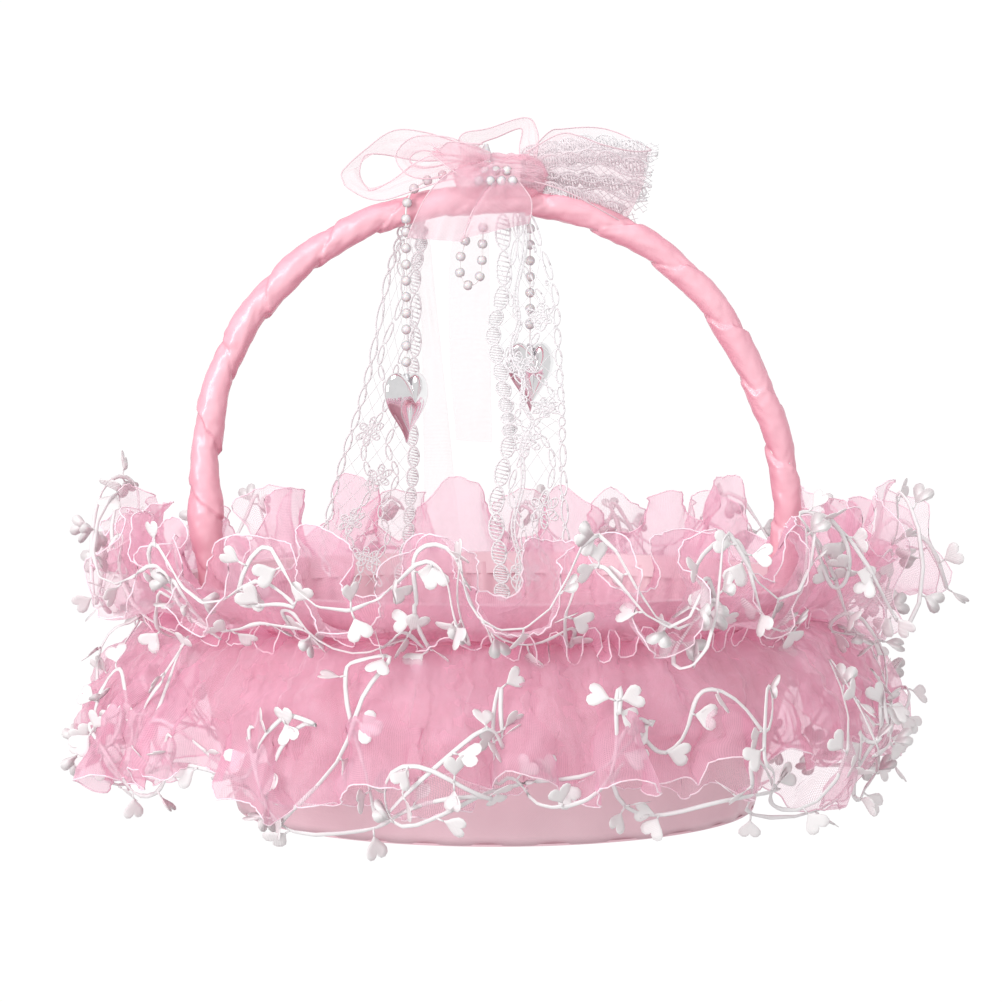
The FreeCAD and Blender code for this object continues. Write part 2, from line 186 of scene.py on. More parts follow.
# ---- materials -----------------------------------------------------------------------------------
class Nodes:
    """A material's node tree, built one node at a time."""

    def __init__(self, name):
        self.mat = bpy.data.materials.new(name)
        self.mat.use_nodes = True
        self.tree = self.mat.node_tree
        self.tree.nodes.clear()

    def add(self, kind, **values):
        """A node; values set its inputs by name, and props_ its own settings."""
        node = self.tree.nodes.new("ShaderNode" + kind)
        for key, value in values.items():
            if key.startswith("p_"):
                setattr(node, key[2:], value)
                continue
            socket = node.inputs[int(key[1:])] if key[0] == "i" and key[1:].isdigit() else node.inputs[
                key.replace("_", " ")]
            if isinstance(value, bpy.types.NodeSocket):
                self.tree.links.new(value, socket)
            else:
                socket.default_value = value
        return node

    def math(self, operation, a, b=0.0):
        return self.add("Math", p_operation=operation, i0=a, i1=b).outputs[0]

    def spread(self, value, low, high, to_low, to_high):
        node = self.add("MapRange", Value=value, From_Min=low, From_Max=high, To_Min=to_low, To_Max=to_high)
        return node.outputs["Result"]

    def ramp(self, value, stops):
        node = self.add("ValToRGB", Fac=value)
        while len(node.color_ramp.elements) < len(stops):
            node.color_ramp.elements.new(0.5)
        for element, (place, colour) in zip(node.color_ramp.elements, stops):
            element.position = place
            element.color = (*colour, 1)
        return node.outputs["Color"]

    def finish(self, shader):
        out = self.add("OutputMaterial")
        self.tree.links.new(shader, out.inputs["Surface"])
        return self.mat


def thread_wave(n, coords, pitch, direction, distortion=0.0):
    """Bright bands pitch apart across coords: the threads of one direction of a weave."""
    wave = n.add("TexWave", Vector=coords, Scale=TURN / 20 / pitch, Distortion=distortion,
                 p_wave_type="BANDS", p_bands_direction=direction)
    return wave.outputs["Fac"]


def satin(name, light, deep, pitch=0.00035, roughness=0.36, crease=0.35):
    """Polyester satin: a soft long highlight, fine weft lines, and shallow puckers; painted shade deepens its colour
    where it turns away from the camera.
    """
    n = Nodes(name)
    coords = n.add("TexCoord").outputs["Object"]
    patches = n.add("TexNoise", Vector=coords, Scale=38.0, Detail=4.0, Roughness=0.6).outputs["Fac"]
    facing = n.add("LayerWeight", Blend=0.5).outputs["Facing"]
    # painted shade: the colour runs from light to deep where the satin turns edge on, mixed with random patches
    painted_shade_and_mottle = n.math("ADD", n.math("MULTIPLY", facing, 0.75), n.math("MULTIPLY", patches, 0.35))
    colour = n.ramp(painted_shade_and_mottle, [(0.10, light), (0.85, deep)])
    weft = thread_wave(n, coords, pitch, "DIAGONAL")
    puckers = n.add("TexNoise", Vector=coords, Scale=210.0, Detail=3.0, Roughness=0.55).outputs["Fac"]
    height = n.math("ADD", n.math("MULTIPLY", weft, 0.12), n.math("MULTIPLY", puckers, crease))
    bump = n.add("Bump", Height=height, Strength=0.35, Distance=0.0006).outputs["Normal"]
    rough = n.spread(patches, 0.3, 0.7, roughness - 0.05, roughness + 0.07)
    shader = n.add("BsdfPrincipled", Base_Color=colour, Roughness=rough, Normal=bump, Specular_IOR_Level=0.55,
                   Anisotropic=0.45, Sheen_Weight=0.25, Sheen_Roughness=0.4)
    return n.finish(shader.outputs[0])


def organza(name, cloth, through, cover=0.34, grazing=0.42, pitch=0.00045):
    """Sheer woven cloth: what is behind it shows tinted, and it turns denser where it is seen edge on."""
    n = Nodes(name)
    flat = n.add("TexCoord").outputs["UV"]
    places = n.add("TexCoord").outputs["Object"]
    warp = thread_wave(n, flat, pitch, "X")
    weft = thread_wave(n, flat, pitch, "Y")
    weave = n.math("MAXIMUM", warp, weft)
    streaks = n.add("TexNoise", Vector=places, Scale=55.0, Detail=5.0, Roughness=0.65).outputs["Fac"]
    facing = n.add("LayerWeight", Blend=0.35).outputs["Facing"]
    dense = n.math("ADD", n.math("MULTIPLY", facing, grazing), n.spread(weave, 0.0, 1.0, cover - 0.10, cover + 0.08))
    dense = n.math("ADD", dense, n.spread(streaks, 0.3, 0.7, -0.05, 0.05))
    dense = n.math("MINIMUM", n.math("MAXIMUM", dense, 0.04), 0.92)
    pale = tuple(min(1.0, c * 1.06 + 0.03) for c in cloth)
    colour = n.ramp(streaks, [(0.35, cloth), (0.7, pale)])
    height = n.math("ADD", n.math("MULTIPLY", weave, 0.3), streaks)
    bump = n.add("Bump", Height=height, Strength=0.25, Distance=0.0004).outputs["Normal"]
    front = n.add("BsdfPrincipled", Base_Color=colour, Roughness=0.42, Normal=bump, Sheen_Weight=0.5,
                  Sheen_Roughness=0.35, Specular_IOR_Level=0.45)
    glow = n.add("BsdfTranslucent", Color=colour)
    solid = n.add("MixShader", i0=0.5, i1=front.outputs[0], i2=glow.outputs[0])
    clear = n.add("BsdfTransparent", Color=(*through, 1))
    return n.finish(n.add("MixShader", i0=dense, i1=clear.outputs[0], i2=solid.outputs[0]).outputs[0])


def white_satin(name, colour=(0.93, 0.91, 0.915), shadow=(0.80, 0.72, 0.745)):
    """White satin of the vines and leaves, with a greyish pink painted shade, as from the pink cloth round it, where
    they turn away from the camera.
    """
    n = Nodes(name)
    coords = n.add("TexCoord").outputs["Object"]
    patches = n.add("TexNoise", Vector=coords, Scale=95.0, Detail=2.0).outputs["Fac"]
    weft = thread_wave(n, coords, 0.0004, "DIAGONAL")
    facing = n.add("LayerWeight", Blend=0.4).outputs["Facing"]
    painted_shade_and_mottle = n.math("ADD", n.math("MULTIPLY", facing, 0.7), n.math("MULTIPLY", patches, 0.4))
    # painted shade: white turns to the greyish pink shadow colour where the satin turns edge on
    tint = n.ramp(painted_shade_and_mottle, [(0.25, colour), (0.9, shadow)])
    bump = n.add("Bump", Height=n.math("ADD", weft, patches), Strength=0.3, Distance=0.0003).outputs["Normal"]
    front = n.add("BsdfPrincipled", Base_Color=tint, Roughness=0.4, Normal=bump, Sheen_Weight=0.3,
                  Specular_IOR_Level=0.5)
    glow = n.add("BsdfTranslucent", Color=(*shadow, 1))
    return n.finish(n.add("MixShader", i0=0.15, i1=front.outputs[0], i2=glow.outputs[0]).outputs[0])


def lace_thread(name):
    n = Nodes(name)
    coords = n.add("TexCoord").outputs["Object"]
    fuzz = n.add("TexNoise", Vector=coords, Scale=1500.0, Detail=2.0).outputs["Fac"]
    twist = thread_wave(n, coords, 0.0005, "DIAGONAL", 2.0)
    colour = n.ramp(fuzz, [(0.3, (0.70, 0.68, 0.70)), (0.7, (0.84, 0.83, 0.84))])
    bump = n.add("Bump", Height=n.math("ADD", fuzz, twist), Strength=0.5, Distance=0.0002).outputs["Normal"]
    shader = n.add("BsdfPrincipled", Base_Color=colour, Roughness=0.55, Normal=bump, Sheen_Weight=0.4)
    return n.finish(shader.outputs[0])


def pearl(name):
    n = Nodes(name)
    coords = n.add("TexCoord").outputs["Object"]
    swirl = n.add("TexNoise", Vector=coords, Scale=420.0, Detail=3.0).outputs["Fac"]
    # painted shade: the pearl darkens to grey at its rim, where it turns away from the camera
    facing = n.add("LayerWeight", Blend=0.45).outputs["Facing"]
    painted_shade_and_mottle = n.math("ADD", n.math("MULTIPLY", facing, 0.8), n.math("MULTIPLY", swirl, 0.25))
    colour = n.ramp(painted_shade_and_mottle, [(0.1, (0.74, 0.72, 0.73)), (0.45, (0.56, 0.53, 0.545)), (0.9, (0.22, 0.20, 0.21))])
    rough = n.spread(swirl, 0.3, 0.7, 0.12, 0.2)
    shader = n.add("BsdfPrincipled", Base_Color=colour, Roughness=rough, Coat_Weight=0.8, Coat_Roughness=0.06,
                   Subsurface_Weight=0.15, Subsurface_Scale=0.001)
    return n.finish(shader.outputs[0])


def mirror_heart(name):
    n = Nodes(name)
    coords = n.add("TexCoord").outputs["Object"]
    haze = n.add("TexNoise", Vector=coords, Scale=160.0, Detail=4.0).outputs["Fac"]
    colour = n.ramp(haze, [(0.3, (0.80, 0.79, 0.80)), (0.75, (0.93, 0.92, 0.93))])
    rough = n.spread(haze, 0.3, 0.8, 0.03, 0.11)
    bump = n.add("Bump", Height=haze, Strength=0.12, Distance=0.0006).outputs["Normal"]
    shader = n.add("BsdfPrincipled", Base_Color=colour, Metallic=1.0, Roughness=rough, Normal=bump)
    return n.finish(shader.outputs[0])


def plain(name, dark, light, scale, roughness, metallic=0.0, strength=0.3):
    """A plain material with grain at the given scale."""
    n = Nodes(name)
    coords = n.add("TexCoord").outputs["Object"]
    grain = n.add("TexNoise", Vector=coords, Scale=scale, Detail=5.0).outputs["Fac"]
    colour = n.ramp(grain, [(0.3, dark), (0.7, light)])
    bump = n.add("Bump", Height=grain, Strength=strength, Distance=0.0004).outputs["Normal"]
    rough = n.spread(grain, 0.3, 0.7, roughness - 0.06, roughness + 0.06)
    shader = n.add("BsdfPrincipled", Base_Color=colour, Roughness=rough, Normal=bump, Metallic=metallic)
    return n.finish(shader.outputs[0])


MATS = {
    # the second colour of each satin is painted shade, shown where the satin turns away from the camera
    "satin_cover": satin("satin_cover", (0.84, 0.60, 0.655), (0.66, 0.37, 0.44)),
    "satin_lining": satin("satin_lining", (0.78, 0.50, 0.565), (0.56, 0.27, 0.34)),
    "satin_wrap": satin("satin_wrap", (0.89, 0.515, 0.585), (0.70, 0.21, 0.31), roughness=0.21, crease=0.6),
    "organza": organza("organza", (0.97, 0.70, 0.79), (1.0, 0.95, 0.97), cover=0.20, grazing=0.34),
    "organza_inner": organza("organza_inner", (0.96, 0.56, 0.70), (1.0, 0.90, 0.935), cover=0.36, grazing=0.34),
    "organza_bow": organza("organza_bow", (0.93, 0.74, 0.79), (1.0, 0.965, 0.975), cover=0.13, grazing=0.46),
    "organza_knot": organza("organza_knot", (0.92, 0.68, 0.75), (1.0, 0.90, 0.93), cover=0.50, grazing=0.3),
    "organza_drape": organza("organza_drape", (0.93, 0.72, 0.79), (1.0, 0.94, 0.96), cover=0.42, grazing=0.3),
    "organza_clear": organza("organza_clear", (0.97, 0.80, 0.85), (1.0, 0.985, 0.99), cover=0.11, grazing=0.25),
    "hem_pale": plain("hem_pale", (0.72, 0.52, 0.57), (0.80, 0.62, 0.67), 900.0, 0.5),
    "hem": plain("hem", (0.93, 0.70, 0.79), (0.97, 0.82, 0.88), 900.0, 0.5),
    # the second colour of each white satin is a greyish pink painted shade
    "vine": white_satin("vine"),
    "leaf": white_satin("leaf", (0.95, 0.93, 0.93), (0.82, 0.70, 0.73)),
    "lace": lace_thread("lace"),
    "pearl": pearl("pearl"),
    "heart": mirror_heart("heart"),
    "board": plain("board", (0.62, 0.50, 0.36), (0.72, 0.60, 0.45), 400.0, 0.8),
    "steel": plain("steel", (0.55, 0.55, 0.57), (0.70, 0.70, 0.72), 500.0, 0.35, metallic=1.0),
    "core": plain("core", (0.84, 0.82, 0.80), (0.90, 0.88, 0.86), 300.0, 0.5),
    "thread": plain("thread", (0.84, 0.82, 0.82), (0.92, 0.90, 0.90), 1200.0, 0.6),
}


def dress(obj, body, slot, *stands_for):
    """Puts a finished piece on its body and hides the CAD nodes that it stands for; slot is not used."""
    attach(obj, body)
    if stands_for:
        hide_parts(*stands_for)
    return obj


def paint(node, mat):
    """Gives a carried-over CAD node its finished material."""
    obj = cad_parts[node]
    obj.data.materials.clear()
    obj.data.materials.append(MATS[mat])


# ---- bowl ----------------------------------------------------------------------------------------
def ripple(angle, z, count, seed):
    """An even wobble between -1 and 1 round the bowl."""
    drift = noise.noise(Vector((math.cos(angle) * 2.2 + seed, math.sin(angle) * 2.2, z * 9)))
    return math.sin(angle * count + 3.5 * drift + seed) * (0.55 + 0.45 * drift)


def bowl_skin(name, heights, inset, pleats, depth, seed, mat):
    """A fabric skin on the bowl, with pleats that run up and down it."""
    around = 720
    grid = np.zeros((around, len(heights), 3))
    for i in range(around):
        angle = TURN * i / around
        for j, z in enumerate(heights):
            a, b = wall_radii(z)
            push = depth * ripple(angle, z, pleats, seed) - inset
            grid[i, j] = ((a + push) * math.cos(angle), (b + push) * math.sin(angle), z)
    return grid_object(name, grid, MATS[mat], closed=True)


def make_bowl():
    cover = bowl_skin("satin_outside", np.linspace(0.0004, WALL_TOP, 26), 0.0001, 26, 0.0007, 1.7, "satin_cover")
    modifier(cover, "SOLIDIFY", thickness=0.0006, offset=-1)
    dress(cover, "basket", "satin_pink", "outer_cover")
    lining_low, lining_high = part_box("lining")
    wall_in = cover_high.x - lining_high.x
    skin = bowl_skin("satin_pleated_inside", np.linspace(lining_low.z, lining_high.z, 20), wall_in + 0.0012,
                     74, 0.0011, 4.1, "satin_lining")
    dress(skin, "basket", "lining_satin", "lining")
    for node, mat in (("base_cover", "satin_cover"), ("base_board", "board"), ("wall_shell", "board"),
                      ("rim_hoop", "steel"), ("rim_binding", "satin_cover"), ("ruffle_tape", "organza_inner"),
                      ("handle_staples", "steel"), ("handle_core", "core"), ("floor_pad", "satin_lining")):
        paint(node, mat)


# ---- surfaces that other pieces lie on ----------------------------------------------------------
def sampler(grid, closed=False):
    """A function of (row share, column share) that gives the point of the sheet there; past the last column it
    goes on straight."""
    rows, cols = grid.shape[:2]

    def at(u, w):
        u, w = np.asarray(u, float), np.asarray(w, float)
        if closed:
            r = np.mod(u, 1.0) * rows
            r0 = np.floor(r).astype(int) % rows
            r1 = (r0 + 1) % rows
        else:
            r = np.clip(u, 0, 1) * (rows - 1)
            r0 = np.minimum(np.floor(r).astype(int), rows - 2)
            r1 = r0 + 1
        c = w * (cols - 1)
        c0 = np.clip(np.floor(c).astype(int), 0, cols - 2)
        fr, fc = (r - np.floor(r))[..., None], (c - c0)[..., None]
        if not closed:
            fr = (r - r0)[..., None]
        low = grid[r0, c0] * (1 - fc) + grid[r0, c0 + 1] * fc
        high = grid[r1, c0] * (1 - fc) + grid[r1, c0 + 1] * fc
        return low * (1 - fr) + high * fr

    return at


def sheet_normal(at, u, w, step_u=0.002, step_w=0.03):
    """Unit normal of a sampled sheet."""
    du = at(u + step_u, w) - at(u - step_u, w)
    dw = at(u, np.asarray(w) + step_w) - at(u, np.asarray(w) - step_w)
    return unit(np.cross(du, dw))


def smooth_line(points_mm, count):
    """A smooth line through given points, evenly in the points' own order."""
    p = np.asarray(points_mm, float) * MM
    p = np.vstack([2 * p[0] - p[1], p, 2 * p[-1] - p[-2]])
    t = np.linspace(0, len(p) - 3 - 1e-9, count)
    k = np.floor(t).astype(int)
    f = (t - k)[:, None]
    a, b, c, d = p[k], p[k + 1], p[k + 2], p[k + 3]
    return 0.5 * (2 * b + (c - a) * f + (2 * a - 5 * b + 4 * c - d) * f ** 2 + (3 * b - a - 3 * c + d) * f ** 3)


# ---- handle ----------------------------------------------------------------------------------------
WRAP_TURN = 0.030  # along the handle, from one edge of the wound ribbon to the next
WRAP_RADIUS = 0.0050


def handle_line():
    """The handle's centreline: the middle of its core, along rays from the middle of the arch."""
    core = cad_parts["handle_core"]
    low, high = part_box("handle_core")
    centre = Vector((0, 0, (low.z + high.z) / 2 - 0.02))
    line = []
    for turn in np.linspace(math.radians(217), math.radians(-37), 150):
        out = Vector((math.cos(turn), 0, math.sin(turn)))
        hit, inner, _, _ = core.ray_cast(centre, out)
        if not hit:
            continue
        hit, outer, _, _ = core.ray_cast(inner + out * 0.0005, out)
        line.append((inner + outer) / 2)
    return evenly(np.array(line), 0.00075)


def make_handle():
    """Satin ribbon wound round the handle: each turn lies over the last, with puckers along its edges."""
    line = handle_line()
    lengths = np.arange(len(line)) * 0.00075
    forward = along(line)
    out = unit(np.cross(forward, np.array([0.0, 1.0, 0.0])))
    toward = np.cross(out, forward)
    around = 72
    grid = np.zeros((len(line), around + 1, 3))
    for i, s in enumerate(lengths):
        swell = 1 + 0.34 * math.exp(-((s - 0.078) / 0.012) ** 2) + 0.05 * noise.noise(Vector((s * 30, 0, 3)))
        edge_height = 0.00105 * (1 + 0.9 * noise.noise(Vector((s * 40, 5, 1))))
        for j in range(around + 1):
            b = TURN * j / around
            helix = s / WRAP_TURN - b / TURN + 0.13 * noise.noise(Vector((s * 25, math.cos(b), math.sin(b))))
            turn_share = helix % 1.0
            step = edge_height * (1 - turn_share) ** 2 * min(1.0, turn_share / 0.035)
            puff = 0.00075 * math.sin(math.pi * turn_share)
            near_edge = math.exp(-turn_share / 0.12) + math.exp(-(1 - turn_share) / 0.10)
            fold = noise.noise(Vector((helix * 4.5, math.cos(b) * 1.1, math.sin(b) * 1.1 + 7)))
            pucker = noise.noise(Vector((s * 330 + 1.6 * math.sin(b), math.cos(b) * 2.0, math.sin(b) * 2.0)))
            r = (WRAP_RADIUS * swell - 0.0002 + step + puff + 0.00045 * fold
                 + 0.00042 * pucker * (0.35 + near_edge))
            grid[i, j] = line[i] + out[i] * math.cos(b) * r + toward[i] * math.sin(b) * r
    wrap = grid_object("satin_wound_handle", grid[:, -2::-1].transpose(1, 0, 2), MATS["satin_wrap"], closed=True)
    dress(wrap, "basket", "satin_pink", "handle_wrap")


# ---- ruffles -----------------------------------------------------------------------------------------
AROUND = 900
ACROSS = 19


def wave_noise(angles, cycles, seed):
    """Smooth noise in -1..1 round the bowl, with about that many waves."""
    r = cycles / 5.0
    return np.array([1.6 * noise.noise(Vector((math.cos(a) * r + seed, math.sin(a) * r - seed, seed))) for a in angles])


def fold_phase(angles, lobes, uneven, seed):
    """The fold each angle is at; the folds are uneven in width."""
    rng = np.random.default_rng(seed)
    widths = 1 + uneven * rng.uniform(-1, 1, lobes)
    edges = np.concatenate([[0], np.cumsum(widths)]) / widths.sum() * TURN
    phase = np.interp(angles, edges, TURN * np.arange(lobes + 1))
    rest = phase - lobes * angles
    kernel = np.hanning(31)
    rest = np.convolve(np.concatenate([rest[-15:], rest, rest[:15]]), kernel / kernel.sum(), "valid")
    return lobes * angles + rest


def ruffle_grid(start_z, start_out, length, lift, bend, swing, lobes, seed, overlap=0.5, long_lobe=0.0,
                short_crest=0.0):
    """A gathered frill on the bowl. Each strand leaves the gathering line at an angle of lift above the horizon and
    turns to bend at its hem; swing leans the crests of the folds out and the troughs in."""
    angles = np.arange(AROUND) * TURN / AROUND
    phase = fold_phase(angles, lobes, 0.35, seed)
    fold = np.cos(phase)
    size = 1 + 0.21 * wave_noise(angles, 16, seed + 0.3)
    lean = swing * (1 + 0.45 * wave_noise(angles, 13, seed + 5.1))
    size = size * (1 - short_crest * fold)
    size = size + long_lobe * np.exp(-((np.mod(angles + math.pi, TURN) - math.pi) / 0.15) ** 2)
    pinch = np.sin(2 * phase) * overlap / lobes * (1 + 0.5 * wave_noise(angles, 20, seed + 9.0))
    tucks = np.sin(angles * 118 + 3.0 * wave_noise(angles, 60, seed + 2.2))
    creases = np.sin(angles * 53 + 2.5 * wave_noise(angles, 30, seed + 4.4))
    a0, b0 = wall_radii(GATHER_Z)
    grid = np.zeros((AROUND, ACROSS, 3))
    out, z = np.full(AROUND, start_out), np.full(AROUND, start_z)
    steps = np.linspace(0, 1, ACROSS)
    for j, t in enumerate(steps):
        if j:
            rise = np.radians(lift + (bend - lift) * t + lean * np.where(fold > 0, 1.0, 0.55) * fold * t ** 0.8
                              + 16 * wave_noise(angles, 44, seed + 7 + 1.3 * t) * t)
            part = length * size / (ACROSS - 1)
            out, z = out + np.cos(rise) * part, z + np.sin(rise) * part
        ripple_out = 0.0024 * tucks * math.exp(-t / 0.2) + 0.0030 * creases * t ** 0.6 * (1 - 0.45 * t)
        turn = angles + pinch * t ** 1.1
        r = out + ripple_out
        grid[:, j, 0] = (a0 + r) * np.cos(turn)
        grid[:, j, 1] = (b0 + r) * np.sin(turn)
        grid[:, j, 2] = z + 0.0012 * creases * t
    return crumple(grid, seed)


def crumple(grid, seed):
    """Soft dents and ridges, none at the gathering line."""
    rows, cols = grid.shape[:2]
    middle = np.array([0, 0, GATHER_Z])
    for j in range(1, cols):
        share = 0.5 + 0.5 * j / (cols - 1)
        for i in range(rows):
            place = Vector(grid[i, j])
            dent = noise.noise_vector(place * 55 + Vector((seed, seed, 0)))
            ridge = 1 - 3 * abs(noise.noise(place * 38 - Vector((seed, 0, seed))))
            out = unit(grid[i, j] - middle)
            grid[i, j] += (np.array(dent) * 0.0040 + out * ridge * 0.0034) * share
    return grid


def settle_cloth(obj, pinned, frames, grow=0.0):
    """Lets a sheet buckle and hang by simulation, held along the pinned points, and keeps the result."""
    group = obj.vertex_groups.new(name="held")
    count = len(obj.data.vertices)
    for index in range(count):
        group.add([index], pinned(index), "REPLACE")
    scene = bpy.context.scene
    scene.frame_start, scene.frame_end = 1, frames
    mod = obj.modifiers.new("cloth", "CLOTH")
    cloth = mod.settings
    cloth.quality = 4
    cloth.mass = 0.06
    cloth.tension_stiffness = cloth.compression_stiffness = 12
    cloth.shear_stiffness = 4
    cloth.bending_stiffness = 0.35
    cloth.air_damping = 2.0
    cloth.vertex_group_mass = "held"
    cloth.pin_stiffness = 1.0
    cloth.shrink_min = -grow
    cloth.effector_weights.gravity = 0.02
    mod.collision_settings.use_collision = False
    mod.collision_settings.use_self_collision = False
    mod.point_cache.frame_start, mod.point_cache.frame_end = 1, frames
    for step in range(1, frames + 1):
        scene.frame_set(step)
    done = bpy.data.meshes.new_from_object(obj.evaluated_get(bpy.context.evaluated_depsgraph_get()))
    places = np.zeros(count * 3)
    done.vertices.foreach_get("co", places)
    obj.modifiers.remove(mod)
    obj.vertex_groups.clear()
    obj.data.vertices.foreach_set("co", places)
    obj.data.update()
    bpy.data.meshes.remove(done)
    scene.frame_set(1)
    return places.reshape(-1, 3)


def make_frill(name, node, grid, flat, mat="organza"):
    """One frill: its cloth is simulated from the gathered shape, then put on the basket with its rolled hem."""
    width, length = flat
    rows, cols = grid.shape[:2]
    cloth = np.stack(np.meshgrid(np.arange(rows) / rows * length, np.arange(cols) / (cols - 1) * width,
                                 indexing="ij"), -1)
    obj = grid_object(name, grid, MATS[mat], closed=True, cloth=cloth)
    hold = np.clip(1.0 - np.arange(cols) / (cols - 1) * 0.8, 0.2, 1.0)
    grid = settle_cloth(obj, lambda index: float(hold[index % cols]), 10, grow=0.10).reshape(grid.shape)
    hem = Batch()
    hem.tube(grid[:, -1], np.broadcast_to([0, 0, 1.0], (rows, 3)), 0.00028, sides=5, closed=True)
    edge = hem.object(name + "_hem", MATS["hem"])
    dress(edge, "basket", "organza_pink")
    dress(obj, "basket", "organza_pink", node)
    return grid


# ---- vines and leaves -----------------------------------------------------------------------------------
LEAF = 0.0092


def leaf_shape():
    """A heart-shaped leaf with its tip at the origin, facing +Z: a domed top and a flat back."""
    outline = []
    for k in range(20):
        t = TURN * (k + 0.5) / 20
        x = 0.5 * math.sin(t) ** 3
        y = (13 * math.cos(t) - 5 * math.cos(2 * t) - 2 * math.cos(3 * t) - math.cos(4 * t) + 17) / 32
        outline.append((x, y))
    outline = np.array(outline)
    middle = np.array([0.0, 0.55])
    verts, faces = [], []
    for share, height in ((1.0, 0.0), (0.97, 0.022), (0.6, 0.03), (0.0, 0.03)):
        ring = middle + (outline - middle) * share
        for x, y in ring if share else [middle]:
            verts.append((x, y, height))
    for ring in range(2):
        for k in range(20):
            a, b = ring * 20 + k, ring * 20 + (k + 1) % 20
            faces.append((a + 20, b + 20, b, a))
    faces += [(40 + (k + 1) % 20, 40 + k, 60) for k in range(20)]
    faces.append(tuple(range(20)))
    return np.array(verts), faces


LEAF_VERTS, LEAF_FACES = leaf_shape()


def add_leaf(batch, tip, grows, faces_to, size, curl):
    """One leaf, its tip at a point, growing one way and facing another."""
    grows = unit(grows)
    side = unit(np.cross(grows, faces_to))
    face = np.cross(side, grows)
    x, y, z = (LEAF_VERTS * size).T
    z = z + curl * ((y / size) ** 2 * 0.5 + (x / size) ** 2) * size
    batch.add(tip + x[:, None] * side + y[:, None] * grows + z[:, None] * face, LEAF_FACES)


def wander(loops, low, high, seed, backtrack):
    """A vine's way over a frill, as (share round, share across): it wanders between low and high and loops back."""
    count = loops * 30
    t = np.arange(count) / count
    phase = TURN * loops * t
    drift, size, reach = (np.array([noise.noise(Vector((math.cos(a) * loops / 9, math.sin(a) * loops / 9, k + seed)))
                                    for a in TURN * t]) for k in (0.2, 7.1, 13.4))
    u = t + backtrack / loops * (1 + 0.8 * size) * np.sin(phase + 2.0 * drift) + 0.3 / loops * reach
    middle, half = (low + high) / 2, (high - low) / 2
    w = (middle + half * (0.62 + 0.5 * reach) * np.cos(phase + 2.0 * drift + 0.5)
         + half * 0.45 * np.sin(0.5 * phase + 4 * size) + half * 0.3 * np.sin(2.3 * phase + 3 * reach))
    return u, np.clip(w, 0.05, 1.38)


def add_vine(cord, leaves, at, outward, loops, low, high, seed, leaf_gap=0.0225):
    """One vine over a frill: a flat cord with heart leaves on short stems, one or two at a time."""
    rng = np.random.default_rng(seed + 50)
    u, w = wander(loops, low, high, seed, 0.34)
    up = sheet_normal(at, u, np.minimum(w, 0.95)) * outward
    lift = 0.0052 + 0.006 * np.interp(np.linspace(0, 1, len(u)), np.linspace(0, 1, loops * 3),
                                      np.clip(rng.uniform(-0.8, 1, loops * 3), 0, 1))
    line = at(u, w) + up * lift[:, None]
    for _ in range(4):
        line = (np.roll(line, 1, 0) + 2 * line + np.roll(line, -1, 0)) / 4
    line[:, 2] = np.maximum(line[:, 2], 0.011)
    line, up = np.vstack([line, line[:1]]), np.vstack([up, up[:1]])
    run = np.concatenate([[0], np.cumsum(np.linalg.norm(np.diff(line, axis=0), axis=1))])
    marks = np.linspace(0, run[-1], int(run[-1] / 0.0019))[:-1]
    places = np.stack([np.interp(marks, run, line[:, k]) for k in range(3)], -1)
    ups = unit(np.stack([np.interp(marks, run, up[:, k]) for k in range(3)], -1))
    cord.tube(places, ups, 0.00085, 0.00036, sides=6, closed=True)
    forward = along(places, closed=True)
    step = np.linalg.norm(np.diff(places, axis=0), axis=1).mean()
    position = rng.uniform(0, leaf_gap)
    while position / step < len(places) - 1:
        k = int(position / step)
        side = np.cross(ups[k], forward[k])
        hands = (1, -1) if rng.random() < 0.3 else (rng.choice((-1, 1)),)
        for hand in hands:
            slant = rng.uniform(-0.9, 0.9)
            grows = side * hand * math.cos(slant) + forward[k] * math.sin(slant) + ups[k] * rng.uniform(-0.2, 0.8)
            grows = unit(unit(grows) + np.array([0, 0, rng.uniform(-0.6, 0.35)]))
            facing = unit(ups[k] + rng.normal(0, 0.42, 3))
            stem_end = places[k] + grows * rng.uniform(0.0012, 0.0034)
            bend = (places[k] + stem_end) / 2 + ups[k] * 0.0004
            cord.tube(np.array([places[k], bend, stem_end]), np.broadcast_to(ups[k], (3, 3)), 0.0004, sides=5)
            add_leaf(leaves, stem_end - grows * 0.0006, grows, facing, LEAF * rng.uniform(0.9, 1.1),
                     rng.uniform(-0.25, 0.35))
        position += leaf_gap * rng.uniform(0.6, 1.4)


def make_vines(tier, grid, outward, ways):
    """A frill's vines; each way is (loops, nearest and furthest share across the frill, seed)."""
    at = sampler(grid, closed=True)
    cord, leaves = Batch(), Batch()
    for loops, low, high, seed in ways:
        add_vine(cord, leaves, at, outward, loops, low, high, seed)
    dress(cord.object("vine_" + tier, MATS["vine"]), "basket", "vine_satin", "vine_cord_" + tier)
    dress(leaves.object("vine_leaves_" + tier, MATS["leaf"]), "basket", "vine_satin", "heart_leaves_" + tier)


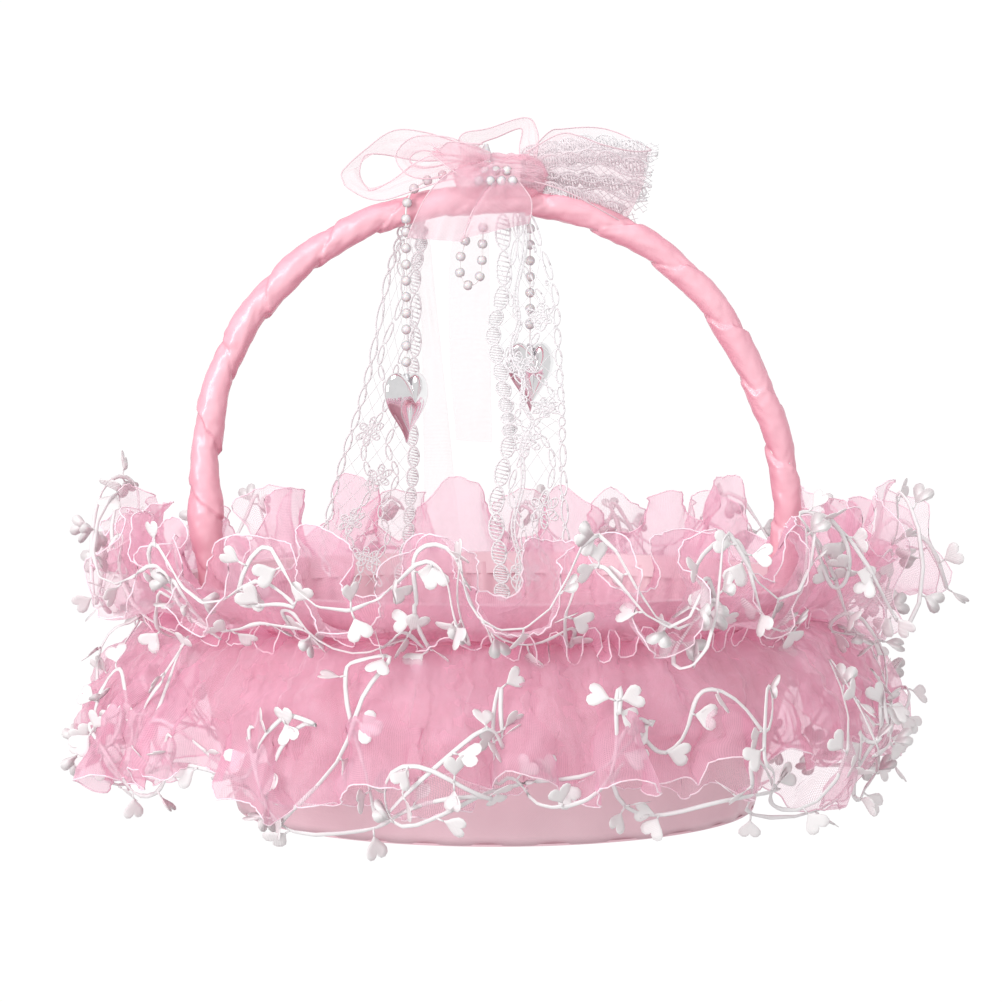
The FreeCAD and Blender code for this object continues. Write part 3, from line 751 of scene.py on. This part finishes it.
def make_ruffles():
    upper = ruffle_grid(GATHER_Z + 0.0010, 0.0034, 0.038, 26, 56, -66, 17, 11, long_lobe=0.55, short_crest=0.2)
    upper_under = ruffle_grid(GATHER_Z + 0.0014, 0.0022, 0.037, 42, 70, -36, 21, 23, short_crest=0.15)
    lower = ruffle_grid(GATHER_Z - 0.0010, 0.0036, 0.069, -12, -122, 17, 18, 37)
    lower_under = ruffle_grid(GATHER_Z - 0.0020, 0.0024, 0.060, -22, -88, 12, 23, 41)
    upper = make_frill("organza_upper_frill", "ruffle_upper", upper, (0.038, 1.30))
    make_frill("organza_upper_under_frill", "ruffle_upper", upper_under, (0.037, 1.15), "organza_inner")
    lower = make_frill("organza_lower_frill", "ruffle_lower", lower, (0.070, 1.30))
    make_frill("organza_lower_under_frill", "ruffle_lower", lower_under, (0.060, 1.15), "organza_inner")
    heading = ruffle_grid(GATHER_Z, 0.0036, 0.0105, 12, -12, 46, 64, 51)
    make_frill("organza_gathered_heading", "ruffle_upper", heading, (0.0105, 1.10), "organza_inner")
    make_vines("upper", upper, 1, ((20, 0.05, 1.05, 15), (14, 0.50, 1.22, 6)))
    make_vines("lower", lower, -1, ((22, 0.15, 1.04, 8), (17, 0.55, 1.14, 9)))


# ---- bow ------------------------------------------------------------------------------------------------
def ribbon_grid(edge_a, edge_b, belly=0.002, count=90, across=25, seed=0.0, pleats=0.0):
    """A ribbon between two edges (mm), bellied and creased along its length, and gathered at its ends by pleats."""
    a, b = smooth_line(edge_a, count), smooth_line(edge_b, count)
    grid = np.zeros((count, across, 3))
    bulge = unit(np.cross(along(a), b - a))
    share = np.linspace(0, 1, count)
    gathered = np.exp(-share / 0.16) + np.exp(-(1 - share) / 0.16)
    for j in range(across):
        w = j / (across - 1)
        wave = np.array([noise.noise(Vector((i * 0.05 + seed, w * 2.5, seed))) for i in range(count)])
        pleat = pleats * math.cos(TURN * 3.2 * w + seed) * math.sin(math.pi * w) * gathered
        grid[:, j] = a + (b - a) * w + bulge * (belly * math.sin(math.pi * w) + 0.0012 * wave + pleat)[:, None]
    return grid


def make_ribbon(name, nodes, edges, mat="organza_bow", slot="organza_pink", belly=0.002, hem="hem_pale"):
    grid = ribbon_grid(*edges, belly=belly, seed=len(name), pleats=0.0015)
    rows, cols = grid.shape[:2]
    length = np.linalg.norm(np.diff(grid[:, cols // 2], axis=0), axis=1).sum()
    width = np.linalg.norm(np.diff(grid, axis=1), axis=2).sum(axis=1).mean()
    cloth = np.stack(np.meshgrid(np.linspace(0, length, rows), np.linspace(0, width, cols), indexing="ij"), -1)
    obj = grid_object(name, grid, MATS[mat], cloth=cloth)
    dress(obj, "basket", slot, *nodes)
    edge = Batch()
    for j in (0, cols - 1):
        edge.tube(grid[:, j], np.broadcast_to([0, 0, 1.0], (rows, 3)), 0.00028, sides=5)
    edging = edge.object(name + "_hem", MATS[hem])
    dress(edging, "basket", slot)
    return grid


LOOP_LEFT = (
    [(-6, 2, 262), (-15.5, -1, 265.2), (-28.3, -2, 268.8), (-40.7, -2, 269.2), (-51.5, -3, 262), (-60.3, -5, 253.6),
     (-60.3, -8, 249.2), (-57.9, -10, 246), (-51.5, -11, 242.4), (-44, -12, 241.4), (-34.7, -12.5, 244),
     (-19.1, -12, 249.2), (-5, -9, 251.2)],
    [(-6, 6, 257.5), (-15.5, 10, 258.4), (-30.7, 14, 258.4), (-44.3, 15, 261), (-51.5, 12, 260.9), (-53.9, 8, 257.6),
     (-54.3, 4, 251.6), (-51.5, 2, 247.2), (-48.9, 0, 246.2), (-40.7, -2, 250.4), (-30.7, -4, 257.2),
     (-22.3, -5, 259.4), (-5, -6, 258.4)])
LOOP_LEFT_INNER = (
    [(-5, -8, 263.5), (-12, -8, 264.2), (-20, -6, 266.5), (-33, -4, 266), (-40, -5, 259), (-36, -7, 252),
     (-26, -8, 250), (-14, -9, 252.5), (-5, -10, 253)],
    [(-5, -4, 257.5), (-12, 0, 258.2), (-20, 5, 260), (-30, 6, 261.5), (-34, 5, 258.5), (-31, 3, 255.6),
     (-24, 0, 255.4), (-14, -3, 256.8), (-5, -6, 256)])
FOLD_LEFT = (
    [(-25, -9, 263.5), (-22.3, -11, 261.6), (-18.3, -12, 264), (-10.3, -12, 263.2), (-2, -10, 260)],
    [(-25.5, -9, 259.8), (-21.5, -11, 256.4), (-17.5, -13, 253.2), (-10.3, -13.5, 249.2), (-2, -12, 247)])
LOOP_CENTRE = (
    [(-8, -8, 257.6), (-14.5, -8, 262.4), (-12.5, -8, 267), (-2.3, -7, 270), (12.5, -5, 274), (16.9, -5, 268.4),
     (15.7, -7, 258)],
    [(-6, -2, 256), (-8.3, 2, 260.6), (-7, 6, 264), (-0.3, 8, 266.6), (10.1, 8, 271), (9.5, 4, 263.4),
     (9.5, 0, 257.4)])
LOOP_RIGHT = (
    [(11, 4, 258.4), (20.9, 8, 269.2), (26.5, 10, 270.8), (38.9, 11, 271.6), (48.5, 11, 269.6), (60.5, 6, 263.4),
     (60.9, 1, 261.6), (53.8, -5, 261), (42.1, -9, 263.2), (32.9, -11, 266.4), (24.9, -11, 267.2), (12.1, -9, 260.4)],
    [(11, 4, 250.2), (21.7, 8, 249.4), (31.7, 11, 245.6), (41.7, 12, 240.4), (48.9, 9, 234.4), (50.9, 5, 232.8),
     (51.1, 2, 232.4), (50.5, -3, 233), (41.7, -8, 237.6), (32.9, -10, 242.4), (23.7, -10, 246.4), (12, -8, 249.6)])
TAIL_LEFT = (
    [(-6, -8, 258), (-14, -11, 254.5), (-22, -13, 249), (-29.5, -14, 239), (-34.6, -12, 226.7)],
    [(1, -12, 249), (-3.5, -13.5, 244), (-8, -15.5, 237), (-11.5, -17.5, 230), (-13.5, -18, 224.8)])
TAIL_FRONT = (
    [(-3, -12, 247), (-6, -13.5, 243), (-9, -15.5, 237), (-11.5, -17.5, 230), (-12.5, -18, 226)],
    [(8.5, -11, 249), (12, -13, 245), (14.0, -14.5, 241), (14.0, -14.5, 236), (12.8, -13, 232)])


def make_knot():
    """The knot: the bow's ribbons drawn tight, their gathers running out to both sides."""
    rows, cols = 168, 64
    middle = np.array([2.0, -2.0, 250.5]) * MM
    half = np.array([18.0, 11.5, 12.5]) * MM
    grid = np.zeros((rows, cols, 3))
    for i in range(rows):
        turn = TURN * i / rows
        c, s = math.cos(turn), math.sin(turn)
        for j in range(cols):
            tip = math.pi * (0.02 + 0.96 * j / (cols - 1))
            side = -math.cos(tip)
            twist = noise.noise(Vector((c * 1.3, s * 1.3, side * 1.5)))
            gathers = abs(math.sin(turn * 5.5 + 3.0 * twist + side * 1.2)) ** 0.7
            fine = noise.noise(Vector((c * 5, s * 5, side * 4)))
            waist = 0.72 + 0.30 * abs(side - 0.1) ** 1.2
            r = waist * (0.80 + 0.26 * gathers) + 0.10 * fine
            grid[i, j] = middle + half * np.array([side * (1 + 0.1 * fine), math.sin(tip) * c * r,
                                                   math.sin(tip) * s * r])
    knot = grid_object("bow_gathered_knot", grid, MATS["organza_knot"], closed=True)
    dress(knot, "basket", "organza_pink", "bow_knot", "bow_tie_wire")


def make_bow():
    make_ribbon("bow_ribbon_left", ["bow_loop_left"], LOOP_LEFT)
    make_ribbon("bow_ribbon_left_inner", ["bow_loop_left_inner"], LOOP_LEFT_INNER)
    make_ribbon("bow_ribbon_fold_left", [], FOLD_LEFT, mat="organza_knot")
    make_ribbon("bow_ribbon_centre", ["bow_loop_centre"], LOOP_CENTRE)
    make_ribbon("bow_ribbon_right", ["bow_loop_right"], LOOP_RIGHT)
    make_ribbon("bow_ribbon_tail_left", ["bow_tail_left"], TAIL_LEFT, mat="organza_drape", belly=0.003)
    make_ribbon("bow_ribbon_tail_front", [], TAIL_FRONT, mat="organza_drape", belly=0.003)
    make_knot()


# ---- lace -------------------------------------------------------------------------------------------------
class Lace:
    """Lace on a ribbon's surface: all its threads are drawn in the ribbon's flat measure and follow its bends."""

    def __init__(self, edges, belly=0.001):
        self.grid = ribbon_grid(*edges, belly=belly, count=120)
        rows, cols = self.grid.shape[:2]
        self.length = np.linalg.norm(np.diff(self.grid[:, cols // 2], axis=0), axis=1).sum()
        self.widths = np.linalg.norm(self.grid[:, -1] - self.grid[:, 0], axis=1)
        self.at = sampler(self.grid)
        self.batch = Batch()

    def width(self, y):
        return np.interp(y / self.length, np.linspace(0, 1, len(self.widths)), self.widths)

    def thread(self, x, y, radius, flat=1.0):
        """A thread through points x across (0 to 1 of the width) and y along (metres)."""
        x, y = np.broadcast_arrays(np.asarray(x, float), np.asarray(y, float))
        keep = (x > -0.2) & (x < 1.2) & (y >= 0) & (y <= self.length)
        if keep.sum() < 2 or not keep.all():
            x, y = x[keep], y[keep]
        if len(x) < 2:
            return
        places = self.at(y / self.length, x)
        self.batch.tube(places, np.broadcast_to([0, -1.0, 0], places.shape), radius, radius * flat, sides=5)

    def oval(self, x, y, across, long, radius, hatches=0, slant=0.0):
        """An oval ring, with threads across it when it is hatched; x in metres from the first edge."""
        turn = np.linspace(0, TURN, 15)
        wide = self.width(y)
        dx, dy = across / 2 * np.cos(turn), long / 2 * np.sin(turn)
        c, s = math.cos(slant), math.sin(slant)
        self.thread((x + dx * c + dy * s) / wide, y - dx * s + dy * c, radius)
        for k in range(hatches):
            share = (k + 1) / (hatches + 1) * 2 - 1
            half = across / 2 * math.sqrt(1 - share ** 2)
            bar = np.array([-half, half])
            rise = long / 2 * share + np.array([-0.0006, 0.0006])
            self.thread((x + bar * c + rise * s) / wide, y - bar * s + rise * c, radius * 0.8)

    def leaf_edge(self, x, pitch=0.0088, across=0.0026):
        """A fine edge: one leaf-shaped link after another."""
        for k in range(int(self.length / pitch)):
            y = (k + 0.5) * pitch
            inset = x if x >= 0 else self.width(y) + x
            self.oval(inset, y, across, pitch * 0.86, 0.00042)
            self.oval(inset, y + pitch / 2, 0.0010, 0.0016, 0.00042)

    def scallop_edge(self, x, pitch=0.0085, across=0.0058):
        """A deep edge of hatched ovals."""
        for k in range(int(self.length / pitch)):
            y = (k + 0.5) * pitch
            inset = x if x >= 0 else self.width(y) + x
            swing = 0.0007 * math.sin(k * 1.3)
            self.oval(inset + swing, y, across, pitch * 0.98, 0.00044, hatches=6)

    def vine(self, middle, swing, wave, radius=0.00040, phase=0.0):
        """A stem that winds down the ribbon, a pair of threads with rungs between."""
        y = np.arange(0, self.length, 0.0012)
        wide = self.width(y)
        for offset in (-0.0006, 0.0006):
            self.thread((middle + swing * np.sin(TURN * y / wave + phase) + offset) / wide, y, radius)
        for k in range(int(self.length / 0.0022)):
            yk = k * 0.0022
            x = middle + swing * math.sin(TURN * yk / wave + phase)
            self.thread(np.array([x - 0.0006, x + 0.0006]) / self.width(yk), np.array([yk, yk + 0.0007]), radius * 0.7)

    def chain(self, middle, swing, wave, phase=0.0, pitch=0.0062, across=0.0022):
        """A winding chain of leaf-shaped links; middle is a share of the ribbon's width."""
        for k in range(int(self.length / pitch)):
            y = (k + 0.5) * pitch
            turn = TURN * y / wave + phase
            x = middle * self.width(y) + swing * math.sin(turn)
            slant = math.atan(swing * TURN / wave * math.cos(turn))
            self.oval(x, y, across, pitch * 0.98, 0.00036, slant=slant)

    def flower(self, x, y, size=0.0044):
        """Six hatched petals round a ring."""
        self.oval(x, y, size * 0.4, size * 0.4, 0.0004)
        for k in range(6):
            turn = TURN * k / 6
            self.oval(x + math.sin(turn) * size * 0.72, y + math.cos(turn) * size * 0.72, size * 0.5, size * 0.85,
                      0.00036, hatches=2, slant=turn)

    def net(self, cell=0.0042, radius=0.00014, low=0.08, high=0.92):
        """The ground: thin threads that cross in diamonds."""
        reach = float(self.widths.max())
        across = np.linspace(low, high, 16)
        for way in (1, -1):
            for k in range(int(-reach / cell), int((self.length + reach) / cell)):
                y = k * cell + way * across * reach * 1.1 + (0 if way > 0 else reach)
                keep = (y > 0) & (y < self.length)
                if keep.sum() > 2:
                    self.thread(across[keep], y[keep], radius)

    def object(self, name):
        return self.batch.object(name, MATS["lace"])


def thread_area(obj):
    """What the lace's threads cover, in square metres: half their surface."""
    return round(sum(face.area for face in obj.data.polygons) / 2, 5)


LACE_LEFT = (
    [(-38, 9, 236), (-40.3, 9, 226.4), (-45.5, 17, 210), (-51.3, 20, 181), (-56.7, 22, 160.2), (-63.3, 23, 139.3),
     (-69.1, 24, 118.3), (-72.4, 23, 100), (-68, 20, 86)],
    [(-28, 9, 236), (-27.3, 9, 226.4), (-29.2, 16, 210), (-30.6, 19, 181), (-31.4, 21, 160.2), (-31.4, 22, 139.3),
     (-31.4, 23, 121), (-34, 22, 104), (-37, 19, 84)])
LACE_RIGHT = (
    [(0.0, -11, 236), (-1.0, -13.5, 204.7), (-3.4, -15, 188.4), (-1.4, -17.5, 172), (2.2, -20, 158.2),
     (1.4, -22, 147), (-2, -26, 124), (-2, -30, 101), (0, -32, 85)],
    [(14.4, -10.5, 236.7), (23.9, -13, 207.4), (25.4, -15, 188.8), (26.3, -17.5, 172), (27, -20, 158.2),
     (27.3, -22, 147.5), (28, -26, 124.4), (29.2, -30, 101.2), (31, -32, 86)])
LACE_BOW = (
    ([(10, 2, 263), (26, 3, 267), (42, 2, 267.5), (65, -2, 264.5)],
     [(10, 0, 256), (26, -1, 256), (42, 0, 257), (64.5, 1, 257)]),
    ([(10, -2, 259), (26, -4, 261), (42, -3, 261), (63.5, -3, 256.5)],
     [(10, -2, 252), (26, -2, 250), (42, 1, 248.5), (62, 2, 247)]),
    ([(10, 3, 255), (26, 4, 254), (42, 3, 252), (62, 1, 247.5)],
     [(10, 2, 248), (26, 3, 244), (42, 4, 240), (60, 3, 236)]),
    ([(10, -1, 252), (26, -5, 248.5), (42, -4, 243), (58, 0, 236)],
     [(10, -2, 246), (26, -4, 241), (42, -2, 234.5), (53, 1, 228.5)]))


def make_lace():
    left = Lace(LACE_LEFT)
    left.leaf_edge(0.0013)
    left.scallop_edge(-0.003, across=0.0046)
    left.net(cell=0.0085, radius=0.00011)
    left.chain(0.36, 0.0028, 0.034)
    left.chain(0.66, 0.0024, 0.027, phase=2.0)
    for k in range(4):
        y = 0.088 + k * 0.018
        left.flower(left.width(y) * (0.52 if k % 2 else 0.30), y, 0.0048)
    right = Lace(LACE_RIGHT)
    right.scallop_edge(0.003)
    right.leaf_edge(-0.0013)
    right.net(cell=0.0090, radius=0.00012)
    right.chain(0.34, 0.0026, 0.031, phase=1.0)
    right.chain(0.68, 0.0036, 0.038, phase=3.0)
    right.vine(0.0105, 0.0014, 0.026)
    for k in range(6):
        y = 0.030 + k * 0.022
        right.flower(right.width(y) * (0.42 if k % 2 else 0.70), y, 0.0052)
    for lace, name, body, node in ((left, "lace_left", "left_streamers", "lace_streamer_left"),
                                   (right, "lace_right", "right_streamer", "lace_streamer_right")):
        obj = lace.object(name)
        dress(obj, body, "lace_white", node)
        thread_area(obj)
    bow = Batch()
    for k, edges in enumerate(LACE_BOW):
        lace = Lace(edges)
        lace.batch = bow
        lace.scallop_edge(0.003)
        lace.leaf_edge(-0.0013)
        lace.net(cell=0.0030, radius=0.00016)
        lace.vine(0.006, 0.0012, 0.020)
    obj = bow.object("lace_in_bow", MATS["lace"])
    dress(obj, "basket", "lace_white", "lace_loop_right")
    thread_area(obj)


ORGANZA_TAILS = {
    "organza_tail_centre": ("centre_tail", (
        [(-15.5, 9, 236), (-19, 21, 215), (-19, 30, 180), (-16.5, 33, 145)],
        [(-3, 9, 236), (-2.5, 21, 215), (-2, 30, 180), (-1.5, 33, 144)])),
    "organza_tail_left": ("left_streamers", (
        [(-38, 10, 234), (-31, 21, 200), (-30, 26, 160), (-29, 28, 100)],
        [(-27, 10, 234), (-24, 21, 200), (-20, 26, 160), (-14, 28, 100)]))}


def make_tails():
    for node, (body, edges) in ORGANZA_TAILS.items():
        grid = ribbon_grid(*edges, belly=0.0015, seed=3.0)
        rows, cols = grid.shape[:2]
        length = np.linalg.norm(np.diff(grid[:, 5], axis=0), axis=1).sum()
        width = np.linalg.norm(np.diff(grid, axis=1), axis=2).sum(axis=1).mean()
        cloth = np.stack(np.meshgrid(np.linspace(0, length, rows), np.linspace(0, width, cols), indexing="ij"), -1)
        obj = grid_object(node + "_cloth", grid, MATS["organza_clear"], cloth=cloth)
        dress(obj, body, "organza_pink", node)


# ---- pearl strings --------------------------------------------------------------------------------------
def make_heart(side, turn_deg):
    """A plump mirrored heart, hung by its cap and turned a little on its string."""
    low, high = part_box(side + "_heart")
    middle = (low + high) / 2
    wide, deep, tall = high.x - low.x, high.y - low.y, high.z - low.z
    rows, cols = 96, 25
    grid = np.zeros((rows, cols, 3))
    c, s = math.cos(math.radians(turn_deg)), math.sin(math.radians(turn_deg))
    for i in range(rows):
        t = TURN * i / rows
        x = math.sin(t) ** 3
        z = (13 * math.cos(t) - 5 * math.cos(2 * t) - 2 * math.cos(3 * t) - math.cos(4 * t) + 2.5) / 14.5
        for j in range(cols):
            tilt = math.pi * (j / (cols - 1) - 0.5)
            keep, depth = math.cos(tilt) ** 0.8, math.sin(tilt) * (0.72 + 0.28 * z)
            px, py = x * keep * wide / 2, depth * deep / 2
            pz = (0.12 + (z - 0.12) * keep) * tall / 2
            grid[i, j] = (middle.x + px * c - py * s, middle.y + px * s + py * c, middle.z + pz)
    heart = grid_object(side + "_mirror_heart", grid, MATS["heart"], closed=True)
    dress(heart, side + "_pendant", "heart_mirror", side + "_heart")


def make_strings():
    for side in ("left", "right"):
        for part in ("drape_pearls", "top_pearl", "pearls"):
            paint(side + "_" + part, "pearl")
        paint(side + "_drape_thread", "thread")
        make_heart(side, 50 if side == "left" else 40)
        paint(side + "_heart_cap", "steel")
        low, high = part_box(side + "_thread")
        x, y = (low.x + high.x) / 2, (low.y + high.y) / 2
        route = [(x, y, high.z + (low.z - high.z) * k / 4) for k in range(5)]
        swing = side + "_swing"
        cord = bpy.data.objects.new(side + "_string", nurbs_curve(side + "_string", route, 0.00035))
        bpy.context.scene.collection.objects.link(cord)
        cord.data.materials.append(MATS["thread"])
        dress(cord, swing, "thread", side + "_thread")
    for node in ("loop_pearls", "spray_pearls", "spray_bud"):
        paint(node, "pearl")
    loop = [(x * MM, y * MM, z * MM) for x, y, z in LOOP_ROUTE]
    cord = bpy.data.objects.new("pearl_loop_string", nurbs_curve("pearl_loop_string", loop, 0.00035))
    bpy.context.scene.collection.objects.link(cord)
    cord.data.materials.append(MATS["thread"])
    dress(cord, "centre_loop", "thread", "loop_thread")
    steps = np.diff(nurbs_line("loop_line", loop), axis=0)


LOOP_ROUTE = ((-9.6, -10.2, 231.4), (-12.6, -10.2, 224), (-14.8, -10.2, 215.5), (-12.8, -10.2, 207.6),
              (-6.8, -10.2, 208.6), (-5.4, -10.2, 217), (-5.2, -10.2, 225), (-5, -10.2, 231.4))


# ---- stage -------------------------------------------------------------------------------------------------
def area_light(name, place, aim, size, power, colour=(1, 1, 1)):
    data = bpy.data.lights.new(name, "AREA")
    data.shape = "RECTANGLE"
    data.size, data.size_y = size
    data.energy = power
    data.color = colour
    obj = bpy.data.objects.new(name, data)
    bpy.context.scene.collection.objects.link(obj)
    obj.location = place
    obj.rotation_mode = "QUATERNION"
    obj.rotation_quaternion = (Vector(aim) - Vector(place)).to_track_quat("-Z", "Y")


def make_stage():
    """A white studio: a bright backdrop behind the basket and soft light from all round, most from the left."""
    size = 3.0
    backdrop = mesh_object("backdrop", [(-size, 1.6, -size), (size, 1.6, -size), (size, 1.6, size),
                                        (-size, 1.6, size)], [(0, 1, 2, 3)], backdrop_white())
    world = bpy.data.worlds.new("studio")
    world.use_nodes = True
    back = world.node_tree.nodes["Background"]
    back.inputs["Color"].default_value = (1.0, 1.0, 1.0, 1)
    back.inputs["Strength"].default_value = 0.80
    bpy.context.scene.world = world
    area_light("key", (-0.70, -0.95, 0.50), (0, 0, 0.10), (0.5, 0.6), 9.0)
    area_light("top", (0.10, -0.30, 1.2), (0, 0, 0.10), (0.6, 0.6), 3.0)
    bpy.context.scene.view_settings.view_transform = "Standard"


def backdrop_white():
    n = Nodes("backdrop_white")
    return n.finish(n.add("Emission", Color=(1, 1, 1, 1), Strength=1.03).outputs[0])


def make_camera():
    data = bpy.data.cameras.new("camera")
    data.sensor_width = 36.0
    data.lens = 89.8
    camera = bpy.data.objects.new("camera", data)
    bpy.context.scene.collection.objects.link(camera)
    camera.location = (0.0, -1.0, 0.190)
    camera.rotation_mode = "QUATERNION"
    camera.rotation_quaternion = (Vector((0.0021, 0.0, 0.122)) - camera.location).to_track_quat("-Z", "Y")
    bpy.context.scene.camera = camera


make_bowl()
make_handle()
make_ruffles()
make_bow()
make_lace()
make_tails()
make_strings()
make_stage()
make_camera()
